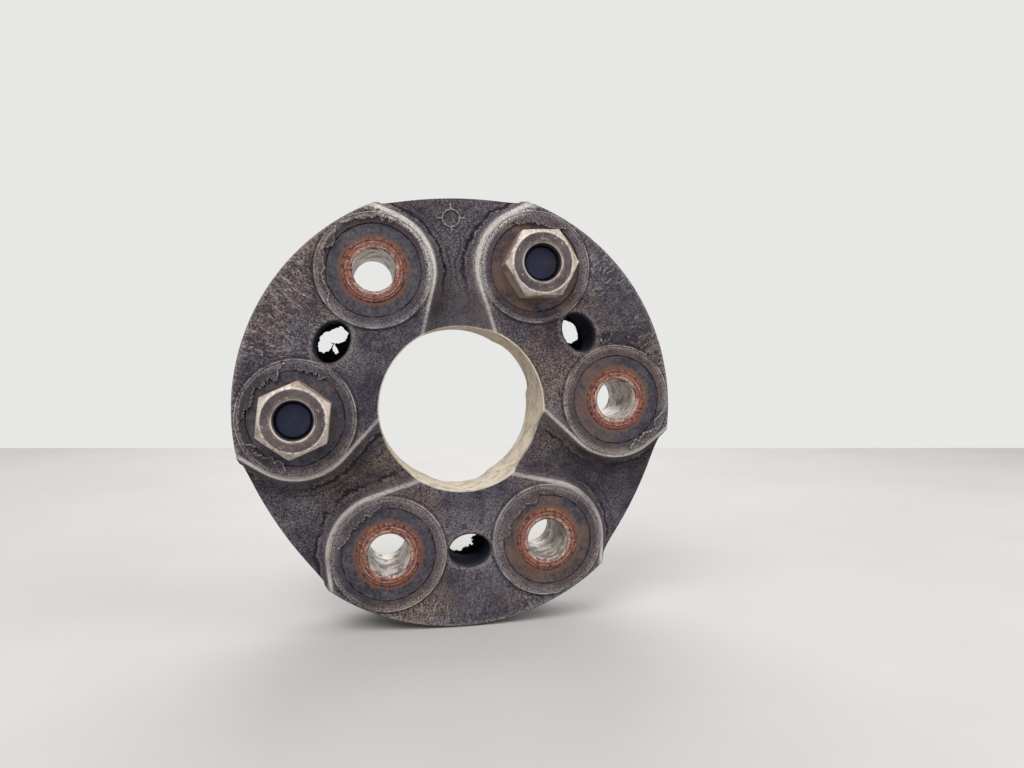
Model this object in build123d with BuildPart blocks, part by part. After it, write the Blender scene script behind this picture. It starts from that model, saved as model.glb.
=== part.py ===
from build123d import *
import math
import os

os.makedirs("parts", exist_ok=True)

# Frame: the disc stands on its rim, its axis runs along Y, the nut side faces -Y, Z is up.
# The origin is the middle of the centre bore. FACE looks out of the nut side.
FACE = Plane.XZ
REAR = Plane(origin=(0, 0, 0), x_dir=(-1, 0, 0), z_dir=(0, 1, 0))

# Bolt pattern
pitch_r = 48.0
boss_count = 6
boss_step = 360.0 / boss_count

# Bushes
sleeve_half = 13.0
sleeve_od = 19.0
sleeve_bore = 12.2
sleeve_mouth = 0.7
sleeve_edge = 0.5
flange_od = 28.0
flange_half = 1.5

# Pressed rings at both ends of each bush
collar_od = 27.6
collar_thick = 2.0
collar_sunk = 0.4
collar_edge = 0.4

# Cord packs between the rings and the middle flange
cord_r = 14.5

# Rubber body
disc_r = 65.8
centre_r = 24.7
boss_face = 12.9
boss_r = 16.9
web_drop = 0.7
rim_round = 2.2
bore_edge = 0.6
recess_depth = 7.2
recess_wall_r = 17.3
recess_draft = 22.0
recess_fillet = 5.0
flat_drop = 2.4
flat_spread = 27.0
flat_draft = 8.0
wall_turn_in = 135.0
wall_turn_out = 55.0
eye_r = 42.7
eye_long = 12.6
eye_wide = 9.8
mark_r = 57.8
mark_ring_r = 2.8
mark_line = 0.5
mark_tick = 1.7
mark_rise = 0.35

# M12 bolts and nuts
nut_flats = 19.0
nut_height = 10.0
nut_chamfer_r = 8.9
nut_chamfer_rise = 1.1
thread_r = 5.3
nut_sink = 0.9
bolt_r = 5.9
bolt_end_sunk = 2.6
bolt_end_chamfer = 0.8
head_height = 7.5
head_washer_r = 9.0
head_washer_thick = 0.6

collar_face = boss_face - collar_sunk
collar_inner = collar_face - collar_thick
web_face = boss_face - web_drop
recess_face = boss_face - recess_depth
nut_top = sleeve_half + nut_height
flat_mid_r = disc_r - flat_drop
recess_run_in = centre_r - 6.0
recess_run_out = disc_r - pitch_r + 25.0


def on_circle(radius, angle):
    return Vector(radius * math.cos(math.radians(angle)), radius * math.sin(math.radians(angle)))


def boss_point(index):
    return on_circle(pitch_r, index * boss_step)


def stadium(a, b, radius):
    """Two full circles joined by their common tangents, in the current sketch."""
    middle = (a + b) * 0.5
    lean = math.degrees(math.atan2((b - a).Y, (b - a).X))
    with Locations((middle.X, middle.Y)):
        SlotCenterToCenter((b - a).length, 2 * radius, rotation=lean)


def off_axis(face, edge, angle):
    """Distance of the edge's middle from the line through the centre at this angle."""
    middle = face.to_local_coords(edge @ 0.5)
    turn = math.radians(angle)
    return abs(middle.X * math.sin(turn) - middle.Y * math.cos(turn))


# Cutter for one recess, with drafted walls and a rounded floor. It lies between the boss at
# angle `first` and the next one, counterclockwise as its own face is seen.
def recess_cutter(face, first):
    last = first + boss_step
    near = on_circle(pitch_r, first)
    far = on_circle(pitch_r, last)
    near_in = near + on_circle(recess_wall_r, first + wall_turn_in)
    near_top = near + on_circle(recess_wall_r, first + 90.0)
    near_out = near + on_circle(recess_wall_r, first + wall_turn_out)
    near_start = near_in + on_circle(recess_run_in, first + wall_turn_in + 90.0)
    near_end = near_out + on_circle(recess_run_out, first + wall_turn_out - 90.0)
    far_in = far + on_circle(recess_wall_r, last - wall_turn_in)
    far_top = far + on_circle(recess_wall_r, last - 90.0)
    far_out = far + on_circle(recess_wall_r, last - wall_turn_out)
    far_start = far_in + on_circle(recess_run_in, last - wall_turn_in - 90.0)
    far_end = far_out + on_circle(recess_run_out, last - wall_turn_out + 90.0)
    with BuildPart() as cutter:
        with BuildSketch(face.offset(boss_face + 1.0)):
            with BuildLine():
                Line(near_start, near_in)
                ThreePointArc(near_in, near_top, near_out)
                Line(near_out, near_end)
                Line(near_end, far_end)
                Line(far_end, far_out)
                ThreePointArc(far_out, far_top, far_in)
                Line(far_in, far_start)
                Line(far_start, near_start)
            make_face()
        extrude(amount=-(recess_depth + 1.0), taper=recess_draft)
        floor = cutter.faces().sort_by(Axis.Y)[-1 if face is FACE else 0]
        walls = floor.edges().filter_by(lambda e: off_axis(face, e, first + boss_step / 2) > 1.0)
        fillet(walls, recess_fillet)
    return cutter.part


# Cutter that flattens the rim of one recess, leaning out to the full radius at the far face.
def rim_cutter(face, first):
    middle = first + boss_step / 2
    corner_r = disc_r + 1.2
    beyond_r = disc_r + 6.0
    with BuildPart() as cutter:
        with BuildSketch(face.offset(recess_face + recess_fillet / 2)):
            with BuildLine():
                ThreePointArc(
                    on_circle(corner_r, middle - flat_spread),
                    on_circle(flat_mid_r, middle),
                    on_circle(corner_r, middle + flat_spread),
                )
                Line(on_circle(corner_r, middle + flat_spread), on_circle(beyond_r, middle + flat_spread))
                Line(on_circle(beyond_r, middle + flat_spread), on_circle(beyond_r + 8.0, middle))
                Line(on_circle(beyond_r + 8.0, middle), on_circle(beyond_r, middle - flat_spread))
                Line(on_circle(beyond_r, middle - flat_spread), on_circle(corner_r, middle - flat_spread))
            make_face()
        extrude(amount=-(recess_face + recess_fillet / 2 + web_face), taper=flat_draft)
    return cutter.part


def sleeve_part():
    with BuildPart() as bush:
        with BuildSketch(FACE.offset(-sleeve_half)):
            Circle(sleeve_od / 2)
            Circle(sleeve_bore / 2, mode=Mode.SUBTRACT)
        extrude(amount=2 * sleeve_half)
        with BuildSketch(FACE.offset(-flange_half)):
            Circle(flange_od / 2)
            Circle(sleeve_bore / 2, mode=Mode.SUBTRACT)
        extrude(amount=2 * flange_half)
        ends = bush.faces().filter_by(Axis.Y)
        mouths = ends.sort_by(Axis.Y)[0].edges() + ends.sort_by(Axis.Y)[-1].edges()
        inner = mouths.filter_by(lambda e: e.radius < sleeve_bore / 2 + 0.1)
        chamfer(inner, sleeve_mouth)
        ends = bush.faces().filter_by(Axis.Y)
        rims = ends.sort_by(Axis.Y)[0].edges() + ends.sort_by(Axis.Y)[-1].edges()
        outer = rims.filter_by(lambda e: e.radius > sleeve_od / 2 - 0.1)
        chamfer(outer, sleeve_edge)
    return bush.part


def collar_part(face):
    with BuildPart() as ring:
        with BuildSketch(face.offset(collar_inner)):
            Circle(collar_od / 2)
            Circle(sleeve_od / 2, mode=Mode.SUBTRACT)
        extrude(amount=collar_thick)
        top = ring.faces().sort_by(Axis.Y)[0 if face is FACE else -1]
        outer = top.edges().filter_by(lambda e: e.radius > sleeve_od / 2 + 0.1)
        chamfer(outer, collar_edge)
    return ring.part


def cord_part(face, index, depth_from, depth_to):
    """One endless pack around the bushes `index` and `index + 1` of the face's own count."""
    a = boss_point(index)
    b = boss_point(index + 1)
    with BuildPart() as pack:
        with BuildSketch(face.offset(depth_from)):
            stadium(a, b, cord_r)
            with Locations((a.X, a.Y), (b.X, b.Y)):
                Circle(sleeve_od / 2, mode=Mode.SUBTRACT)
            stadium(a, b, sleeve_od / 2)
        extrude(amount=depth_to - depth_from)
        with BuildSketch(face.offset(depth_from)):
            stadium(a, b, sleeve_od / 2)
        extrude(amount=depth_to - depth_from, mode=Mode.SUBTRACT)
    return pack.part


sleeve_names = [
    "sleeve_right",
    "sleeve_top_right",
    "sleeve_top_left",
    "sleeve_left",
    "sleeve_bottom_left",
    "sleeve_bottom_right",
]
sleeves = []
for index, name in enumerate(sleeve_names):
    place = boss_point(index)
    bush = Pos(place.X, 0, place.Y) * sleeve_part()
    bush.label = name
    sleeves.append(bush)

collars = []
for side, face in (("front", FACE), ("rear", REAR)):
    for index, name in enumerate(sleeve_names):
        place = boss_point(index)
        ring = Pos(place.X, 0, place.Y) * collar_part(face)
        ring.label = name.replace("sleeve", "collar_" + side)
        collars.append(ring)

# The front packs join the bosses under the raised front webs, the rear packs those between.
# REAR looks at the disc from behind, so its count of bosses runs the other way round.
cord_jobs = [
    ("cord_front_right", FACE, 0),
    ("cord_front_left", FACE, 2),
    ("cord_front_bottom", FACE, 4),
    ("cord_rear_top", REAR, 1),
    ("cord_rear_lower_right", REAR, 3),
    ("cord_rear_lower_left", REAR, 5),
]
cords = []
for name, face, index in cord_jobs:
    pack = cord_part(face, index, flange_half, collar_inner)
    pack.label = name
    cords.append(pack)

# Rubber body
with BuildPart() as rubber_body:
    with BuildSketch(FACE.offset(-boss_face)):
        Circle(disc_r)
        Circle(centre_r, mode=Mode.SUBTRACT)
    extrude(amount=2 * boss_face)
    rims = rubber_body.edges().filter_by(GeomType.CIRCLE)
    fillet(rims.filter_by(lambda e: e.radius > disc_r - 1), rim_round)
    rims = rubber_body.edges().filter_by(GeomType.CIRCLE)
    chamfer(rims.filter_by(lambda e: e.radius < centre_r + 1), bore_edge)
    for face in (FACE, REAR):
        with BuildSketch(face.offset(web_face)):
            Circle(disc_r + 2)
            with PolarLocations(pitch_r, boss_count):
                Circle(boss_r, mode=Mode.SUBTRACT)
        extrude(amount=web_drop + 1.0, mode=Mode.SUBTRACT)
    for first in (60.0, 180.0, 300.0):
        add(recess_cutter(FACE, first), mode=Mode.SUBTRACT)
        add(rim_cutter(FACE, first), mode=Mode.SUBTRACT)
    for first in (0.0, 120.0, 240.0):
        add(recess_cutter(REAR, first), mode=Mode.SUBTRACT)
        add(rim_cutter(REAR, first), mode=Mode.SUBTRACT)
    with BuildSketch(FACE):
        with PolarLocations(eye_r, 3, start_angle=30):
            Ellipse(eye_wide / 2, eye_long / 2)
    extrude(amount=boss_face + 1, both=True, mode=Mode.SUBTRACT)
    with BuildSketch(FACE.offset(recess_face)):
        with Locations((0, mark_r)):
            Circle(mark_ring_r)
            Circle(mark_ring_r - mark_line, mode=Mode.SUBTRACT)
            with PolarLocations(mark_ring_r + mark_tick / 2 - mark_line / 2, 4):
                Rectangle(mark_tick, mark_line)
    extrude(amount=mark_rise)
    for held in sleeves + collars + cords:
        add(held, mode=Mode.SUBTRACT)
    with BuildSketch(FACE.offset(-boss_face - 1)):
        with PolarLocations(pitch_r, boss_count):
            Circle(sleeve_od / 2)
    extrude(amount=2 * boss_face + 2, mode=Mode.SUBTRACT)
    for face in (FACE, REAR):
        with BuildSketch(face.offset(collar_face - collar_edge)):
            with PolarLocations(pitch_r, boss_count):
                Circle(collar_od / 2)
        extrude(amount=boss_face, mode=Mode.SUBTRACT)
rubber_body.part.label = "rubber_body"


def nut_part():
    with BuildPart() as nut:
        with BuildSketch(FACE.offset(sleeve_half)):
            RegularPolygon(nut_flats / 2, 6, major_radius=False)
        extrude(amount=nut_height)
        with BuildSketch(Plane.XY):
            with BuildLine():
                Polyline(
                    (nut_chamfer_r, -nut_top),
                    (nut_chamfer_r + 3.0, -nut_top + nut_chamfer_rise * 3.0 / 2.0),
                    (nut_chamfer_r + 3.0, -sleeve_half - nut_chamfer_rise * 3.0 / 2.0),
                    (nut_chamfer_r, -sleeve_half),
                    (thread_r + nut_sink, -sleeve_half),
                    (thread_r, -sleeve_half - nut_sink),
                    (thread_r, -nut_top + nut_sink),
                    (thread_r + nut_sink, -nut_top),
                    close=True,
                )
            make_face()
        revolve(axis=Axis.Y, mode=Mode.INTERSECT)
    return nut.part


def bolt_part():
    with BuildPart() as bolt:
        with BuildSketch(REAR.offset(sleeve_half + head_washer_thick)):
            RegularPolygon(nut_flats / 2, 6, major_radius=False)
        extrude(amount=head_height - head_washer_thick)
        with BuildSketch(Plane.XY):
            with BuildLine():
                Polyline(
                    (0, sleeve_half),
                    (nut_chamfer_r + 3.0, sleeve_half),
                    (nut_chamfer_r + 3.0, sleeve_half + head_height - nut_chamfer_rise * 3.0 / 2.0),
                    (nut_chamfer_r, sleeve_half + head_height),
                    (0, sleeve_half + head_height),
                    close=True,
                )
            make_face()
        revolve(axis=Axis.Y, mode=Mode.INTERSECT)
        with BuildSketch(REAR.offset(sleeve_half)):
            Circle(head_washer_r)
        extrude(amount=head_washer_thick)
        with BuildSketch(Plane.XY):
            with BuildLine():
                Polyline(
                    (0, sleeve_half),
                    (bolt_r, sleeve_half),
                    (bolt_r, -sleeve_half + 0.4),
                    (thread_r, -sleeve_half),
                    (thread_r, -nut_top + bolt_end_sunk + bolt_end_chamfer),
                    (thread_r - bolt_end_chamfer, -nut_top + bolt_end_sunk),
                    (0, -nut_top + bolt_end_sunk),
                    close=True,
                )
            make_face()
        revolve(axis=Axis.Y)
    return bolt.part


fasteners = []
for name, index, turn in (("top_right", 1, 0.0), ("left", 3, 21.5)):
    place = boss_point(index)
    nut = Pos(place.X, 0, place.Y) * Rot(0, -turn, 0) * nut_part()
    nut.label = "nut_" + name
    fasteners.append(nut)
    bolt = Pos(place.X, 0, place.Y) * Rot(0, -turn, 0) * bolt_part()
    bolt.label = "bolt_" + name
    fasteners.append(bolt)

for piece in [rubber_body.part] + sleeves + collars + cords + fasteners:
    export_step(piece, "parts/" + piece.label + ".step")
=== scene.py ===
import math
import random

import bmesh
import bpy
from mathutils import Matrix, Vector


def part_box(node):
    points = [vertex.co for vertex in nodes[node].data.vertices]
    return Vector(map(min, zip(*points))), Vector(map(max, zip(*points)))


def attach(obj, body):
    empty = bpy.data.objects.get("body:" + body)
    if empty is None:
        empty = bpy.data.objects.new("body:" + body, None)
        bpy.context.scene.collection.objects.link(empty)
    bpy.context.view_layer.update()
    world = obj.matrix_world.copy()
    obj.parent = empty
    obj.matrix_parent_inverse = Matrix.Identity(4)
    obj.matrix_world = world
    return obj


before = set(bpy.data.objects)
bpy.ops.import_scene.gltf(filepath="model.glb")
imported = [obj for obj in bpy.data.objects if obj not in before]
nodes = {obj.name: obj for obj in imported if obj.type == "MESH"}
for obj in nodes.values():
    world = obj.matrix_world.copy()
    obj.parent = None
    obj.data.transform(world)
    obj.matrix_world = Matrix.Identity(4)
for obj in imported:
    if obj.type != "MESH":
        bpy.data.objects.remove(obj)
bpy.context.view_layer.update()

MM = 0.001

# The disc's own sizes, in millimetres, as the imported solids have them
PITCH_R = 48.0
RECESS_R = 17.3
EYE_R = 42.7
EYE_HALF_WIDE = 4.95
EYE_HALF_LONG = 6.35
MARK_R = 57.8
MARK_RING_R = 2.8
BOSS_Y = -12.9
WEB_FACE_Y = -12.2

# The angle of each boss round the disc, in degrees, as the nut side is seen
RIGHT = 0
TOP_RIGHT = 60
TOP_LEFT = 120
LEFT = 180
BOTTOM_LEFT = 240
BOTTOM_RIGHT = 300

# How the view stands: degrees and millimetres
DISC_LEAN = 2.73
VIEW_YAW = -11.56
VIEW_DIP = 1.34
VIEW_PLACE = (-29.0, -226.9, 12.35)
SENSOR = 36.0
LENS = 25.48828125

# Strips of torn rubber: steps along a strip, rows across it, and its thickness
TORN_STEPS = 120
TORN_ROWS = 6
SKIN_THICK = 0.45
FLASH_THICK = 0.5
FLASH_SIDES = 72
FLASH_DEPTH = 3.2


# ---------------------------------------------------------------- camera
def place_camera():
    cam = bpy.data.cameras.new("camera")
    cam.sensor_width = SENSOR
    cam.lens = LENS
    cam.clip_start = 0.01
    cam.clip_end = 20.0
    body = bpy.data.objects.new("camera", cam)
    bpy.context.scene.collection.objects.link(body)
    turn = Matrix.Rotation(math.radians(DISC_LEAN), 4, "Y")
    yaw = Matrix.Rotation(math.radians(VIEW_YAW), 4, "Z")
    pitch = Matrix.Rotation(math.radians(90.0 - VIEW_DIP), 4, "X")
    place = Matrix.Translation(Vector(VIEW_PLACE) * MM)
    body.matrix_world = turn @ place @ yaw @ pitch
    bpy.context.scene.camera = body


place_camera()


# ---------------------------------------------------------------- shader maths
class Value:
    """A number or a vector in one material's node tree. Arithmetic on it adds Math nodes."""

    def __init__(self, tree, socket):
        self.tree = tree
        self.socket = socket

    def node(self, kind, links, output=0, **settings):
        made = self.tree.nodes.new(kind)
        for name, setting in settings.items():
            setattr(made, name, setting)
        for name, source in links.items():
            if isinstance(source, Value):
                self.tree.links.new(source.socket, made.inputs[name])
            else:
                made.inputs[name].default_value = source
        return Value(self.tree, made.outputs[output])

    def math(self, operation, *others):
        links = {0: self}
        for number, other in enumerate(others):
            links[number + 1] = other
        return self.node("ShaderNodeMath", links, operation=operation)

    def __add__(self, other):
        return self.math("ADD", other)

    def __sub__(self, other):
        return self.math("SUBTRACT", other)

    def __mul__(self, other):
        return self.math("MULTIPLY", other)

    def __truediv__(self, other):
        return self.math("DIVIDE", other)

    def __rsub__(self, other):
        return self.math("MULTIPLY", -1.0) + other

    def __rtruediv__(self, other):
        return self.math("POWER", -1.0) * other

    __radd__ = __add__
    __rmul__ = __mul__

    def between(self, low, high, to_low=0.0, to_high=1.0):
        """Smooth step from low to high."""
        links = {
            "Value": self,
            "From Min": low,
            "From Max": high,
            "To Min": to_low,
            "To Max": to_high,
        }
        return self.node("ShaderNodeMapRange", links, interpolation_type="SMOOTHSTEP")

    def band(self, centre, half, soft):
        """1 near the centre value, fading to 0 beyond half the width."""
        off = (self - centre).math("ABSOLUTE")
        return off.between(half, half + soft, 1.0, 0.0)

    def colours(self, other, amount):
        """This colour going over to the other one by the amount."""
        links = {"Factor": amount, 6: self, 7: other}
        return self.node("ShaderNodeMix", links, 2, data_type="RGBA")


class Finish:
    """One material: its coordinates, its noises and its surface."""

    def __init__(self, name, roughness, metallic=0.0, specular=0.5):
        self.material = bpy.data.materials.new(name)
        self.material.use_nodes = True
        self.tree = self.material.node_tree
        self.shader = self.tree.nodes["Principled BSDF"]
        self.shader.inputs["Roughness"].default_value = roughness
        self.shader.inputs["Metallic"].default_value = metallic
        self.shader.inputs["Specular IOR Level"].default_value = specular
        coordinates = self.tree.nodes.new("ShaderNodeTexCoord")
        self.place = Value(self.tree, coordinates.outputs["Object"])
        apart = self.tree.nodes.new("ShaderNodeSeparateXYZ")
        self.tree.links.new(coordinates.outputs["Object"], apart.inputs[0])
        self.x = Value(self.tree, apart.outputs[0]) * 1000.0
        self.y = Value(self.tree, apart.outputs[1]) * 1000.0
        self.z = Value(self.tree, apart.outputs[2]) * 1000.0

    def noise(self, scale, detail=4.0, roughness=0.55, stretch=None, distortion=0.0, place=None):
        """Noise of about 0 to 1, its scale in features a millimetre."""
        source = place or self.place
        if stretch:
            links = {0: source, 1: stretch}
            source = self.place.node("ShaderNodeVectorMath", links, operation="MULTIPLY")
        links = {
            "Vector": source,
            "Scale": scale * 1000.0,
            "Detail": detail,
            "Roughness": roughness,
            "Distortion": distortion,
        }
        return self.place.node("ShaderNodeTexNoise", links)

    def cells(self, scale):
        """Distance to the nearest of scattered points, its scale in cells a millimetre."""
        links = {"Vector": self.place, "Scale": scale * 1000.0}
        return self.place.node("ShaderNodeTexVoronoi", links, feature="F1")

    def colour(self, red, green, blue):
        return self.place.node("ShaderNodeCombineColor", {0: red, 1: green, 2: blue})

    def from_boss(self, angle):
        """Distance in the face's plane from the boss at this angle, in millimetres."""
        aside = self.x - PITCH_R * math.cos(math.radians(angle))
        above = self.z - PITCH_R * math.sin(math.radians(angle))
        return (aside * aside + above * above).math("SQRT")

    def from_centre(self):
        """Radius in millimetres and angle in degrees round the disc's axis."""
        radius = (self.x * self.x + self.z * self.z).math("SQRT")
        return radius, self.z.math("ARCTAN2", self.x) * (180.0 / math.pi)

    def nearest_boss(self):
        """Distance in the face's plane from the nearest of the six bosses, in millimetres."""
        radius, angle = self.from_centre()
        turn = angle.math("WRAP", 30.0, -30.0) * (math.pi / 180.0)
        aside = radius * turn.math("COSINE") * (2 * PITCH_R)
        return (radius * radius + PITCH_R * PITCH_R - aside).math("SQRT")

    def link(self, socket, value):
        self.tree.links.new(value.socket, self.shader.inputs[socket])

    def bump(self, height, strength=1.0, distance=1.0):
        """Relief from a height in millimetres."""
        links = {"Strength": strength, "Distance": distance * MM, "Height": height}
        self.link("Normal", height.node("ShaderNodeBump", links))


# ---------------------------------------------------------------- rubber
def rubber_places(finish):
    """Where a point lies on the moulding: its place round the axis, and its distances in
    millimetres from the nearest boss and from the wall of the nearest recess."""
    radius, angle = finish.from_centre()
    boss = finish.nearest_boss()
    rear = finish.y.math("GREATER_THAN", 0.0)
    fold = (angle - 90.0 + rear * 60.0).math("WRAP", 60.0, -60.0).math("ABSOLUTE")
    fold = fold * (math.pi / 180.0)
    along = radius * fold.math("COSINE") - PITCH_R * math.cos(math.radians(30))
    across = radius * fold.math("SINE") - PITCH_R * math.sin(math.radians(30))
    turn = across.math("ARCTAN2", along)
    turn = turn.math("MAXIMUM", math.radians(-105)).math("MINIMUM", math.radians(-25))
    recess = along * turn.math("COSINE") + across * turn.math("SINE") - RECESS_R
    return radius, angle, boss, recess


def make_rubber(name="moulded_rubber", torn_lip=False):
    finish = Finish(name, 0.75, specular=0.25)
    radius, angle, boss, recess = rubber_places(finish)
    face = finish.y.math("ABSOLUTE")
    grain = finish.noise(1.7, 3.0, 0.7)
    speckle = finish.noise(3.4, 2.0, 0.6)
    patch = finish.noise(0.045, 3.0, 0.55)
    dirt = finish.noise(0.15, 6.0, 0.7, distortion=0.4)
    on_face = face.between(5.2, 5.6)
    web = face.between(11.6, 12.0)

    dark = finish.colour(0.028, 0.024, 0.039)
    pale = finish.colour(0.280, 0.234, 0.222)
    ridge = finish.colour(0.760, 0.705, 0.660)
    khaki = finish.colour(0.660, 0.580, 0.465)
    rust = finish.colour(0.150, 0.085, 0.048)
    soot = finish.colour(0.010, 0.010, 0.018)

    # the bare moulding: a pitted, mottled skin with dust in its grain
    coarse = 0.55 + patch.between(0.38, 0.60) * 0.75
    shade = 0.27 + ((grain - 0.5) * 1.9 + (speckle - 0.5) * 1.4) * coarse
    shade = shade + (patch - 0.5) * 1.3 + (dirt - 0.5) * 1.1
    disc = boss.between(16.6, 16.3) * web
    # painted shade on the recess floor along the foot of each recess wall
    valley_painted_shade = recess.band(3.2, 0.8, 3.5) * on_face
    floor = on_face * (1.0 - web)
    shade = shade - valley_painted_shade * 0.10 + floor * radius.between(50.0, 34.0) * 0.10
    # lighter up the top recess and under the centre hole, darker beside it and far out left
    top = finish.z.between(56.0, 36.0) * finish.z.between(0.0, 20.0)
    shade = shade + floor * finish.x.band(0.0, 8.0, 8.0) * top * 0.24
    below = finish.z.between(-20.0, -27.0)
    shade = shade + web * finish.x.band(0.0, 14.0, 10.0) * below * 0.10
    shade = shade - web * finish.x.between(10.0, 22.0) * finish.z.band(13.0, 9.0, 8.0) * 0.08
    shade = shade - web * finish.x.between(-30.0, -50.0) * finish.z.between(8.0, 20.0) * 0.07
    plate = (boss + (dirt - 0.5) * 5.0).between(15.6, 14.4) * web
    shade = shade * (1.0 - plate * 0.35)
    right_plate = finish.from_boss(RIGHT).between(16.4, 15.6) * web
    shade = shade * (1.0 - right_plate * 0.25)
    warm = finish.noise(0.028, 3.0, 0.6).between(0.44, 0.56)
    cool_dust = finish.colour(0.255, 0.222, 0.240)
    warm_dust = finish.colour(0.310, 0.230, 0.185)
    dust = cool_dust.colours(warm_dust, warm)
    tone = dark.colours(dust, shade)

    # short strokes run towards the rim on the webs
    links = {0: angle * 0.0011, 1: finish.y * 0.0002, 2: radius * 0.00038}
    swept = finish.place.node("ShaderNodeCombineXYZ", links)
    scuff = finish.noise(1.5, 3.0, 0.6, place=swept)
    scuffed = radius.between(45.0, 57.0) * web * (1.0 - disc) * patch.between(0.36, 0.54)
    tone = tone.colours(ridge, scuff.between(0.54, 0.70) * scuffed * 0.30)
    tone = tone.colours(dark, scuff.between(0.48, 0.34) * scuffed * 0.70)

    # a turned line round each boss catches the light in places
    line = boss.band(16.75, 0.08, 0.20) * web * dirt.between(0.40, 0.58)
    tone = tone.colours(pale, boss.band(16.3, 0.35, 0.6) * web * grain.between(0.35, 0.60) * 0.55)
    tone = tone.colours(ridge, line * 0.45)
    groove = boss.band(17.35, 0.15, 0.30) * web * dirt.between(0.30, 0.52)
    tone = tone.colours(soot, groove * 0.45)

    # the edge of each recess is rubbed pale, most towards the top, where the extra paleness is
    # painted highlight on edges that face the light from above
    high = finish.z.between(5.0, 48.0, 0.75, 1.0)
    high = high * radius.between(27.0, 38.0, 0.55, 1.0)
    rubbed_and_top_lit = face.between(8.0, 11.0) * patch.between(0.30, 0.50, 0.50, 1.0) * high
    halo = recess.band(-0.2, 0.5, 1.9) * rubbed_and_top_lit
    tone = tone.colours(pale, halo * grain.between(0.34, 0.62) * 0.7)
    # the upper edges get a broader pale band: wear, with a painted highlight over it
    broad_wear_and_top_highlight = recess.band(-0.2, 0.7, 1.6) * rubbed_and_top_lit * finish.z.between(22.0, 46.0)
    tone = tone.colours(ridge, broad_wear_and_top_highlight * grain.between(0.36, 0.62) * 0.75)
    worn = recess.band(0.30, 0.22, 0.60) * rubbed_and_top_lit
    tone = tone.colours(ridge, worn * grain.between(0.22, 0.46))

    # the rim's rounded edge is rubbed pale, and its brightest flecks are wear and painted glints
    rim_wear_and_glints = radius.between(63.9, 65.4) * face.between(9.0, 11.5)
    tone = tone.colours(pale, rim_wear_and_glints * grain.between(0.36, 0.62) * 0.8)
    tone = tone.colours(ridge, rim_wear_and_glints * grain.between(0.56, 0.72) * 0.35)

    # torn lines run down the recess walls, with lifted lips beside them
    bent = finish.noise(0.16, 6.0, 0.78)
    course = recess - 1.2 - bent * 6.0 + finish.noise(1.3, 2.0, 0.6) * 0.9
    upper = finish.z.between(30.0, 44.0) * finish.noise(0.10, 2.0).between(0.34, 0.46)
    lower = finish.z.between(20.0, 0.0) * finish.noise(0.08, 2.0).between(0.44, 0.53) * 0.9
    where = (upper + lower) * on_face * recess.between(0.6, 1.6)
    crack = course.band(0.0, 0.20, 0.40) * where
    lips = course.band(-0.85, 0.20, 0.55) * where
    second = course.band(2.1, 0.08, 0.30) * where * dirt.between(0.42, 0.56)
    tone = tone.colours(pale, lips * grain.between(0.35, 0.60) * 0.75)
    tone = tone.colours(soot, crack * 0.95)
    tone = tone.colours(soot, second * 0.75)

    # where skin has come away the rubber below is dark and smooth
    from_right = finish.from_boss(RIGHT) + (dirt - 0.5) * 5.0
    bare = from_right.band(19.1, 1.9, 0.2) * web * finish.x.band(50.0, 5.6, 0.8)
    bare = bare * finish.z.between(10.0, 12.0)
    from_top_left = finish.from_boss(TOP_LEFT) + (dirt - 0.5) * 2.0
    bare = bare + from_top_left.between(15.5, 15.2) * web * finish.z.between(44.0, 47.0)
    from_left = finish.from_boss(LEFT) + (dirt - 0.5) * 3.0
    bare = bare + from_left.between(15.8, 15.4) * web * finish.x.between(-54.0, -57.0)
    bare_rubber = finish.colour(0.028, 0.023, 0.032).colours(pale, (grain - 0.42) * 0.6)
    tone = tone.colours(bare_rubber, bare * 0.9)

    # the raised roundel at the top has rubbed lines
    aside = finish.x.math("ABSOLUTE")
    above = (finish.z - MARK_R).math("ABSOLUTE")
    out = (aside * aside + above * above).math("SQRT")
    mark = out.band(MARK_RING_R, 0.25, 0.12)
    for across in (aside, above):
        tick = across.between(0.36, 0.24) * out.between(2.6, 2.9) * out.between(4.9, 4.6)
        mark = mark.math("MAXIMUM", tick)
    mark = mark * finish.y.between(-5.8, -6.0) * finish.y.between(-8.0, -7.6)
    tone = tone.colours(ridge, mark * grain.between(0.30, 0.55) * 0.45)

    # rust has bled from the bushes, strongest round the fitted nut at the top right
    stain = finish.noise(0.32, 5.0, 0.7)
    round_bush = boss.between(16.5, 12.5) * stain.between(0.46, 0.66) * web
    tone = tone.colours(rust, round_bush * 0.35)
    top_right = finish.from_boss(TOP_RIGHT).between(16.6, 11.0) * stain.between(0.34, 0.60) * web
    tone = tone.colours(rust, top_right * 0.55)
    lower_right = finish.from_boss(BOTTOM_RIGHT).between(17.0, 12.0) * stain.between(0.40, 0.62)
    lower_right = lower_right * web
    tone = tone.colours(rust, lower_right * 0.5)

    # the wall of the centre hole is pale with dust, browner towards its ends, with painted light
    # near its mouths
    wall = radius.between(25.25, 24.9) * (1.0 - web * radius.between(24.95, 25.3))
    brown = finish.colour(0.360, 0.280, 0.200)
    mottle = finish.noise(0.28, 6.0, 0.75)
    dust_and_light = khaki.colours(brown, mottle.between(0.44, 0.64) * 0.8)
    dust_and_light = dust_and_light.colours(pale, grain.between(0.52, 0.70) * 0.45)
    dust_and_light = dust_and_light.colours(dark, mottle.between(0.66, 0.74) * 0.7)
    # painted highlight: the wall is lighter still near the two mouths of the hole
    lit = face.between(11.2, 12.2) * grain.between(0.35, 0.55)
    dust_and_light = dust_and_light.colours(finish.colour(0.72, 0.67, 0.58), lit * 0.7)
    tone = tone.colours(dust_and_light, wall)
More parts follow.
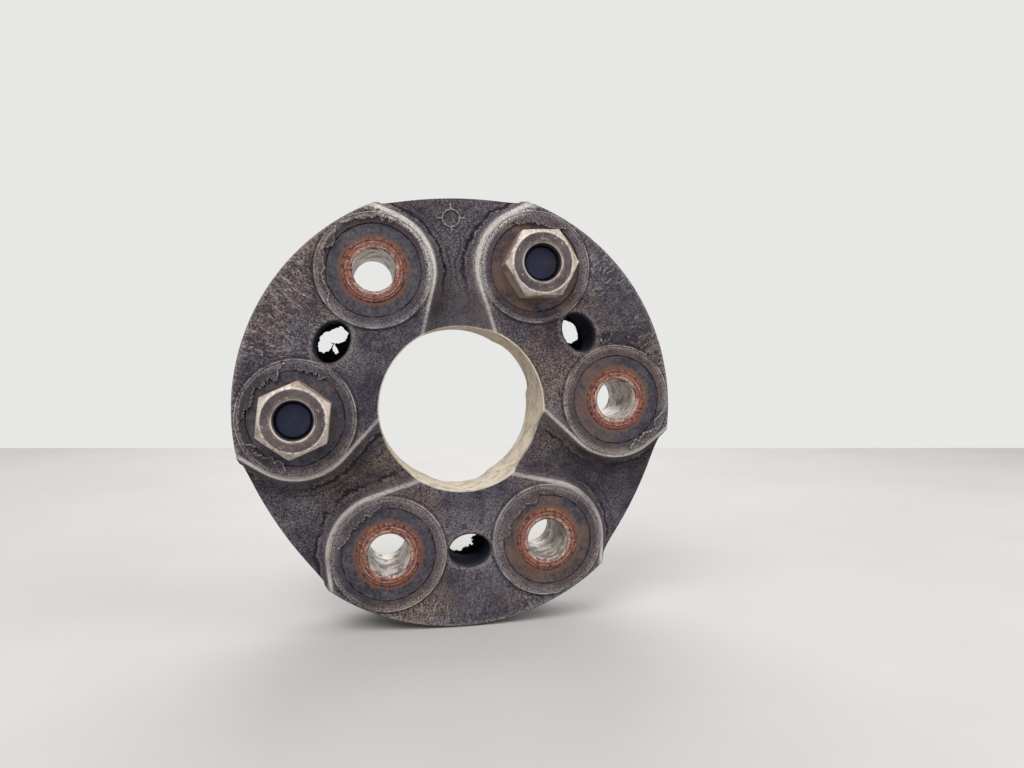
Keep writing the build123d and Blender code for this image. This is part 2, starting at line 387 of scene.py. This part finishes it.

    # the eye holes are painted dark inside as painted shade, darker than the rubber and darkest
    # midway through
    eye_turn = (angle - 30.0).math("WRAP", 60.0, -60.0) * (math.pi / 180.0)
    eye_u = (radius * eye_turn.math("COSINE") - EYE_R) / EYE_HALF_WIDE
    eye_v = (radius * eye_turn.math("SINE")) / EYE_HALF_LONG
    eye_out = (eye_u * eye_u + eye_v * eye_v).math("SQRT")
    mouth = eye_out.band(1.17, 0.05, 0.10) * web
    tone = tone.colours(pale, mouth * grain.between(0.35, 0.60) * 0.6)
    eye = eye_out.between(1.08, 1.0)
    eye_deep_shade = finish.colour(0.006, 0.008, 0.020)
    eye_shallow_shade = finish.colour(0.036, 0.038, 0.050)
    tone = tone.colours(eye_deep_shade.colours(eye_shallow_shade, face.between(8.5, 12.4)), eye)

    if torn_lip:
        torn = finish.place.node("ShaderNodeAttribute", {}, 2, attribute_name="lip")
        tone = tone.colours(ridge, torn.between(0.84, 1.0) * grain.between(0.38, 0.62) * 0.5)
    finish.link("Base Color", tone)

    rough = 0.66 + grain * 0.25 - disc * 0.06 + wall * 0.1 + eye * 0.2
    finish.link("Roughness", rough)

    pits = finish.cells(0.9).between(0.0, 0.40)
    relief = grain * 0.55 + speckle * 0.20 + dirt * 0.45 + pits * 0.10
    relief = relief * (1.0 - disc * 0.35) * (1.0 - eye * 0.4)
    relief = relief - crack * 0.9 + lips * 0.55 - second * 0.3
    relief = relief + scuff * scuffed * 0.40 + line * 0.25 - groove * 0.2
    wrinkle = finish.noise(0.45, 5.0, 0.75, distortion=0.8)
    wrinkle = wrinkle * recess.between(0.8, 3.0) * on_face
    relief = relief + wrinkle * 1.1
    finish.bump(relief, 1.0, 1.0)
    return finish.material


# ---------------------------------------------------------------- bushes and rings
def make_bush():
    finish = Finish("rusty_bush", 0.6, specular=0.35)
    boss = finish.nearest_boss()
    grain = finish.noise(0.85, 5.0, 0.7)
    speckle = finish.noise(2.0, 3.0, 0.65)
    patch = finish.noise(0.22, 4.0, 0.6)
    red = finish.colour(0.245, 0.082, 0.058)
    orange = finish.colour(0.420, 0.170, 0.082)
    brown = finish.colour(0.034, 0.020, 0.022)
    bright = finish.colour(0.820, 0.690, 0.630)
    silver = finish.colour(0.600, 0.555, 0.500)
    bore_shade_colour = finish.colour(0.180, 0.135, 0.100)

    # scale on the end face: red-brown, orange in patches, pitted dark
    tone = red.colours(orange, patch.between(0.46, 0.68) * 0.65)
    # the pale flecks over the scale are painted highlights, standing in for glints off it
    tone = tone.colours(bright, speckle.between(0.55, 0.66) * patch.between(0.66, 0.40) * 0.5)
    tone = tone.colours(brown, grain.between(0.50, 0.58) * 0.85)
    # the mouth is rubbed bright, and a turned ring shows half way out
    mouth = boss.band(6.6, 0.20, 0.60) * patch.between(0.38, 0.58)
    tone = tone.colours(bright, mouth * speckle.between(0.35, 0.60) * 0.75)
    ring = boss.band(8.10, 0.05, 0.20) * patch.between(0.56, 0.42)
    tone = tone.colours(bright, ring * 0.24)
    step = boss.band(8.55, 0.06, 0.25)
    tone = tone.colours(brown, step * 0.6)
    edge = boss.between(8.7, 9.3) * grain.between(0.36, 0.58)
    tone = tone.colours(brown, edge * 0.55)

    # inside the bore: bare metal with scrapes and dirt
    bore = boss.between(6.45, 6.2)
    scrape = finish.noise(0.9, 4.0, 0.6, stretch=(1.0, 0.25, 1.0))
    dirt = finish.noise(0.30, 5.0, 0.65)
    inside = silver.colours(bright, scrape.between(0.48, 0.64) * 0.6)
    inside = inside.colours(brown, dirt.between(0.48, 0.58) * 0.85)
    inside = inside.colours(red, patch.between(0.50, 0.70) * 0.6)
    # painted shade: the bottom right bore, and the right one less, darker inside in patches
    shaded = finish.from_boss(BOTTOM_RIGHT).between(9.0, 8.0)
    shaded = shaded + finish.from_boss(RIGHT).between(9.0, 8.0) * 0.5
    inside = inside.colours(bore_shade_colour, shaded * patch.between(0.34, 0.60) * 0.8)
    tone = tone.colours(inside, bore)
    finish.link("Base Color", tone)
    finish.link("Metallic", bore * 0.30 + mouth * 0.2)
    finish.link("Roughness", 0.72 - bore * 0.30 + grain * 0.15 - mouth * 0.15)
    crust = (1.0 - bore) * 1.3 + 0.2
    relief = (grain * 0.60 + speckle * 0.20) * crust + patch * 0.30
    finish.bump(relief - step * 0.15 + ring * 0.10, 1.0)
    return finish.material


def make_ring():
    finish = Finish("pressed_ring", 0.5, specular=0.3)
    boss = finish.nearest_boss()
    grain = finish.noise(1.4, 4.0, 0.65)
    patch = finish.noise(0.2, 5.0, 0.65)
    turned = finish.noise(0.5, 2.0, 0.5)
    dark = finish.colour(0.022, 0.020, 0.033)
    grey = finish.colour(0.112, 0.098, 0.104)
    rust = finish.colour(0.140, 0.078, 0.052)
    pale = finish.colour(0.300, 0.255, 0.230)
    red = finish.colour(0.175, 0.066, 0.044)
    shade = 0.30 + (patch - 0.5) * 1.6 + (grain - 0.5) * 2.2
    tone = dark.colours(grey, shade)
    ragged = boss + (patch - 0.5) * 3.0
    near = ragged.between(11.0, 9.9)
    tone = tone.colours(rust, near * grain.between(0.36, 0.58) * 0.8)
    # the bush's rust runs out over the ring, but not under the nut on the left
    spread = (boss + (patch - 0.5) * 2.6).between(10.5, 9.8)
    spread = spread * finish.from_boss(LEFT).between(13.0, 15.0)
    tone = tone.colours(red, spread * grain.between(0.58, 0.42) * 0.85)
    lip = boss.band(13.6, 0.1, 0.3) * turned.between(0.46, 0.60)
    tone = tone.colours(pale, lip * 0.45)
    brown_side = finish.from_boss(TOP_RIGHT).between(15.0, 13.0)
    tone = tone.colours(rust, brown_side * patch.between(0.36, 0.60) * 0.75)
    tone = tone.colours(grey, brown_side * grain.between(0.52, 0.68) * 0.5)
    right_side = finish.from_boss(BOTTOM_RIGHT).between(15.0, 13.0)
    tone = tone.colours(rust, right_side * patch.between(0.38, 0.60) * 0.55)
    upper_right = finish.from_boss(RIGHT).between(15.0, 13.0) * finish.x.between(52.0, 40.0)
    tone = tone.colours(rust, upper_right * patch.between(0.36, 0.56) * 0.5)
    finish.link("Base Color", tone)
    finish.link("Roughness", 0.50 + grain * 0.25 + near * 0.15)
    finish.bump(grain * 0.22 + patch * 0.35, 0.9)
    return finish.material


# ---------------------------------------------------------------- nuts, bolts, packs
def make_nut():
    finish = Finish("dull_nut", 0.45, metallic=0.5)
    boss = finish.nearest_boss()
    grain = finish.noise(1.0, 5.0, 0.65)
    patch = finish.noise(0.16, 5.0, 0.65)
    scrape = finish.noise(0.8, 4.0, 0.6, stretch=(1.0, 0.2, 1.0))
    steel = finish.colour(0.460, 0.400, 0.350)
    warm = finish.colour(0.215, 0.150, 0.118)
    dirty = finish.colour(0.125, 0.094, 0.090)
    dark = finish.colour(0.045, 0.036, 0.040)
    bright = finish.colour(0.700, 0.640, 0.580)
    tone = steel.colours(warm, patch.between(0.42, 0.62) * 0.8)
    tone = tone.colours(dark, grain.between(0.54, 0.70) * 0.55)
    tone = tone.colours(bright, scrape.between(0.56, 0.70) * 0.4)

    # the end face is a dark ring, lighter and pinkish round the hole
    end = finish.y.between(-22.55, -22.8) * boss.between(8.75, 8.55)
    ring = dark.colours(dirty, 0.50 + (patch - 0.5) * 3.0 + (grain - 0.5) * 2.6)
    ring = ring.colours(bright, scrape.between(0.60, 0.70) * 0.35)
    tone = tone.colours(ring, end)
    rose = finish.colour(0.250, 0.185, 0.165)
    mouth = boss.between(6.7, 6.3)
    tone = tone.colours(rose, mouth * grain.between(0.62, 0.42) * 0.6)
    lip = boss.band(5.85, 0.10, 0.25)
    tone = tone.colours(bright, lip * patch.between(0.40, 0.56) * 0.6)
    thread = boss.between(5.70, 5.55)
    tone = tone.colours(dark, thread)
    # painted highlight: a bright ring round the edge of the end face, where it meets the chamfer
    chamfer_highlight = boss.band(8.85, 0.12, 0.35) * finish.y.between(-21.5, -22.4)
    tone = tone.colours(bright, chamfer_highlight * grain.between(0.62, 0.42) * 0.7)
    finish.link("Base Color", tone)
    finish.link("Roughness", 0.42 + grain * 0.25 + end * 0.2)
    finish.link("Metallic", 0.55 - end * 0.35)
    finish.bump(grain * 0.25 + patch * 0.25, 0.9)
    return finish.material


def make_bolt():
    finish = Finish("black_bolt", 0.4, metallic=0.1, specular=0.25)
    boss = finish.nearest_boss()
    grain = finish.noise(1.4, 5.0, 0.6)
    patch = finish.noise(0.3, 4.0, 0.6)
    black = finish.colour(0.010, 0.013, 0.036)
    brown = finish.colour(0.030, 0.019, 0.020)
    steel = finish.colour(0.260, 0.225, 0.195)
    rust = finish.colour(0.150, 0.078, 0.046)
    dark = finish.colour(0.042, 0.034, 0.034)
    bright = finish.colour(0.560, 0.500, 0.450)

    # the threaded end, deep in the nut, is black
    tone = black.colours(brown, patch.between(0.48, 0.66) * 0.7)
    # the head is dirty steel, its crown rubbed along a turned edge
    head = finish.y.between(12.5, 13.0)
    worn = steel.colours(rust, patch.between(0.44, 0.62) * 0.7)
    worn = worn.colours(dark, grain.between(0.48, 0.64) * 0.7)
    top = finish.y.between(20.2, 20.4)
    crown = boss.band(9.05, 0.08, 0.30) * top
    worn = worn.colours(bright, crown * grain.between(0.60, 0.40) * 0.7)
    edge = boss.band(10.5, 0.10, 0.55) * patch.between(0.36, 0.56)
    worn = worn.colours(bright, edge * 0.55)
    tone = tone.colours(worn, head)
    finish.link("Base Color", tone)
    finish.link("Roughness", 0.42 + grain * 0.25)
    finish.link("Metallic", head * 0.35)
    slope = boss.math("MAXIMUM", 9.05).math("MINIMUM", 11.0) - 9.05
    finish.bump(grain * 0.20 + patch * 0.15 - slope * top * 0.9, 0.9)
    return finish.material


def make_cord():
    finish = Finish("rubbered_cord", 0.85)
    strand = finish.noise(0.9, 3.0, 0.6, stretch=(0.3, 2.0, 0.3))
    pale = finish.colour(0.42, 0.38, 0.31)
    dark = finish.colour(0.10, 0.09, 0.09)
    finish.link("Base Color", pale.colours(dark, strand.between(0.45, 0.62)))
    finish.bump(strand * 0.3)
    return finish.material


finishes = {
    "rubber": make_rubber(),
    "sleeve": make_bush(),
    "collar": make_ring(),
    "nut": make_nut(),
    "bolt": make_bolt(),
    "cord": make_cord(),
}
for name, node in nodes.items():
    material = finishes[name.split("_")[0]]
    for place in node.material_slots:
        place.material = material


# ---------------------------------------------------------------- torn rubber
def torn_edge(dice, count, swing):
    """Offsets of a ragged edge: a slow wander with sharp jags on it."""
    turns = [dice.uniform(-1.0, 1.0) for _ in range(count // 9 + 2)]
    edge = []
    jag = 0.0
    for step in range(count):
        at, part = divmod(step / 9.0, 1.0)
        slow = turns[int(at)] * (1.0 - part) + turns[int(at) + 1] * part
        jag = jag * 0.6 + dice.uniform(-0.22, 0.22)
        edge.append(swing * (slow * 0.8 + jag))
    return edge


def finish_mesh(name, form, material):
    """A finished piece of rubber from its form, riding on the disc."""
    mesh = bpy.data.meshes.new(name)
    bmesh.ops.recalc_face_normals(form, faces=form.faces)
    for side in form.faces:
        side.smooth = True
    form.to_mesh(mesh)
    form.free()
    piece = bpy.data.objects.new(name, mesh)
    bpy.context.scene.collection.objects.link(piece)
    mesh.materials.append(material)
    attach(piece, "root")


def torn_skin(name, boss_angle, start, end, outer, inner, swing, seed, lift=0.35, face=BOSS_Y):
    """A strip of rubber skin round a boss, from one angle to another in degrees: let in along
    its outer radius, torn and lifted along its inner radius."""
    dice = random.Random(seed)
    middle_x = PITCH_R * math.cos(math.radians(boss_angle))
    middle_z = PITCH_R * math.sin(math.radians(boss_angle))
    form = bmesh.new()
    bmesh.ops.create_grid(form, x_segments=TORN_STEPS, y_segments=TORN_ROWS, size=1.0)
    lip = form.verts.layers.float.new("lip")
    ragged = torn_edge(dice, TORN_STEPS + 1, swing)
    let_in = torn_edge(dice, TORN_STEPS + 1, 0.6)
    lumps = torn_edge(dice, TORN_STEPS + 1, 0.35)
    for vert in form.verts:
        along = (vert.co.x + 1.0) / 2.0
        across = (vert.co.y + 1.0) / 2.0
        step = round(along * TORN_STEPS)
        width = (outer - inner + ragged[step]) * min(1.0, 6.0 * along, 6.0 * (1.0 - along))
        radius = outer + let_in[step] - max(0.25, width) * across
        turn = math.radians(start + (end - start) * along)
        rise = 0.10 + lift * across ** 1.5 * (1.0 + lumps[step]) + dice.uniform(0.0, 0.12)
        vert[lip] = across
        aside = middle_x + radius * math.cos(turn)
        above = middle_z + radius * math.sin(turn)
        vert.co = Vector((aside, face - rise, above)) * MM
    # the moves above leave the normals stale, and the thickness goes along them
    form.normal_update()
    bmesh.ops.solidify(form, geom=form.faces[:], thickness=SKIN_THICK * MM)
    finish_mesh(name, form, skin_rubber)


def torn_flash(name, angle, seed, reach, aim_turn, swing):
    """Moulding flash left inside the eye hole at this angle: a thin web with a torn hole
    through it, which reaches furthest in on the side that aim_turn gives in degrees."""
    dice = random.Random(seed)
    form = bmesh.new()
    bmesh.ops.create_circle(form, segments=FLASH_SIDES, radius=1.0, cap_ends=False)
    lip = form.verts.layers.float.new("lip")
    ragged = torn_edge(dice, FLASH_SIDES + 1, swing)
    made = bmesh.ops.extrude_edge_only(form, edges=form.edges[:])["geom"]
    inside = [part for part in made if isinstance(part, bmesh.types.BMVert)]
    for vert in inside:
        turn = math.atan2(vert.co.y, vert.co.x)
        step = int((turn + math.pi) / (2.0 * math.pi) * FLASH_SIDES)
        side = 0.5 + 0.5 * math.cos(turn - math.radians(aim_turn))
        keep = 1.0 - (reach * side + 0.16) * (1.0 + ragged[step])
        vert[lip] = 1.0
        vert.co = Vector((vert.co.x * keep, vert.co.y * keep, dice.uniform(-0.12, 0.12)))
    bmesh.ops.subdivide_edges(form, edges=form.edges[:], cuts=1)
    turn_in = Matrix.Rotation(math.radians(90.0), 4, "X")
    aim = Matrix.Rotation(-math.radians(angle), 4, "Y")
    shape = Matrix.Diagonal(Vector((5.15, 6.55, 4.0, 1.0)))
    place = aim @ Matrix.Translation(Vector((EYE_R, FLASH_DEPTH, 0.0))) @ turn_in @ shape
    bmesh.ops.transform(form, matrix=Matrix.Scale(MM, 4) @ place, verts=form.verts)
    bmesh.ops.solidify(form, geom=form.faces[:], thickness=FLASH_THICK * MM)
    finish_mesh(name, form, flash_rubber)


def make_flash_finish():
    finish = Finish("flash_rubber", 0.7, specular=0.25)
    grain = finish.noise(1.2, 4.0, 0.65)
    navy = finish.colour(0.010, 0.011, 0.020)
    grey = finish.colour(0.060, 0.058, 0.060)
    finish.link("Base Color", navy.colours(grey, grain.between(0.50, 0.75) * 0.6))
    finish.bump(grain * 0.4)
    return finish.material


skin_rubber = make_rubber("torn_skin", torn_lip=True)
flash_rubber = make_flash_finish()

# name, boss, first and last angle, outer and inner radius, raggedness, seed, lift, face
for strip in (
    ("torn_skin_left", LEFT, 98, 190, 16.3, 13.4, 1.8, 11),
    ("torn_skin_left_low", LEFT, 202, 262, 16.4, 13.4, 1.6, 12),
    ("torn_skin_left_top", LEFT, 48, 92, 15.6, 13.6, 0.9, 13),
    ("torn_skin_top_left", TOP_LEFT, 126, 222, 16.9, 14.4, 1.1, 14, 0.5),
    ("torn_skin_top_left_top", TOP_LEFT, 58, 124, 16.7, 15.4, 0.9, 15, 0.5),
    ("torn_skin_top_right", TOP_RIGHT, 48, 116, 15.2, 12.9, 1.1, 16, 0.5),
    ("torn_skin_right", RIGHT, -78, -12, 16.4, 14.5, 1.0, 17, 0.6),
    ("torn_skin_bottom_right", BOTTOM_RIGHT, 92, 184, 15.2, 12.7, 0.9, 20),
    ("torn_skin_bottom_left", BOTTOM_LEFT, 96, 168, 15.0, 13.0, 0.7, 24),
    ("flake_right_inner", RIGHT, 92, 103, 21.0, 18.4, 1.2, 18, 0.3, WEB_FACE_Y),
    ("flake_right_outer", RIGHT, 58, 76, 20.4, 17.9, 1.0, 19, 0.3, WEB_FACE_Y),
):
    torn_skin(*strip)

# name, eye hole's angle, seed, reach, the side of the furthest reach, raggedness
for web in (
    ("flash_right", 30, 21, 0.34, 215, 0.9),
    ("flash_left", 150, 22, 0.55, 140, 1.0),
    ("flash_bottom", 270, 23, 0.34, 60, 1.0),
):
    torn_flash(*web)


# ---------------------------------------------------------------- stage and light
def make_stage():
    floor_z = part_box("rubber_body")[0].z
    mesh = bpy.data.meshes.new("floor")
    form = bmesh.new()
    bmesh.ops.create_grid(form, x_segments=1, y_segments=1, size=1.5)
    bmesh.ops.translate(form, verts=form.verts, vec=(0.0, -1.03, floor_z))
    # the floor lies level and square to the view, so its far edge is a level line
    lean = Matrix.Rotation(math.radians(DISC_LEAN), 3, "Y")
    level = lean @ Matrix.Rotation(math.radians(VIEW_YAW), 3, "Z")
    bmesh.ops.rotate(form, verts=form.verts, matrix=level)
    form.to_mesh(mesh)
    form.free()
    floor = bpy.data.objects.new("floor", mesh)
    bpy.context.scene.collection.objects.link(floor)
    finish = Finish("pale_floor", 0.65, specular=0.3)
    cloud = finish.noise(0.01, 4.0, 0.6)
    pale = finish.colour(0.52, 0.51, 0.49)
    grey = finish.colour(0.44, 0.43, 0.42)
    finish.link("Base Color", pale.colours(grey, cloud))
    mesh.materials.append(finish.material)

    world = bpy.data.worlds.new("studio")
    world.use_nodes = True
    tree = world.node_tree
    light = tree.nodes["Background"]
    light.inputs["Color"].default_value = (1.0, 1.0, 1.0, 1.0)
    light.inputs["Strength"].default_value = 0.58
    wall = tree.nodes.new("ShaderNodeBackground")
    wall.inputs["Color"].default_value = (0.80, 0.80, 0.79, 1.0)
    path = tree.nodes.new("ShaderNodeLightPath")
    # the eye, metal and glass see the pale wall, and all else is lit by the plain light
    seen = Value(tree, path.outputs["Is Camera Ray"])
    seen = seen + Value(tree, path.outputs["Is Transmission Ray"])
    seen = seen + Value(tree, path.outputs["Is Glossy Ray"])
    both = tree.nodes.new("ShaderNodeMixShader")
    tree.links.new(seen.socket, both.inputs[0])
    tree.links.new(light.outputs[0], both.inputs[1])
    tree.links.new(wall.outputs[0], both.inputs[2])
    tree.links.new(both.outputs[0], tree.nodes["World Output"].inputs["Surface"])
    bpy.context.scene.world = world

    for name, place, size, power in (
        ("key", (-0.30, -0.45, 0.60), 0.5, 5.0),
        ("side", (0.55, -0.25, 0.25), 0.4, 1.8),
        ("back", (0.10, 0.60, 0.50), 0.6, 4.0),
    ):
        lamp = bpy.data.lights.new(name, "AREA")
        lamp.size = size
        lamp.energy = power
        shown = bpy.data.objects.new(name, lamp)
        shown.location = place
        shown.rotation_mode = "QUATERNION"
        shown.rotation_quaternion = (-Vector(place)).to_track_quat("-Z", "Y")
        bpy.context.scene.collection.objects.link(shown)
    bpy.context.scene.view_settings.view_transform = "Standard"


make_stage()
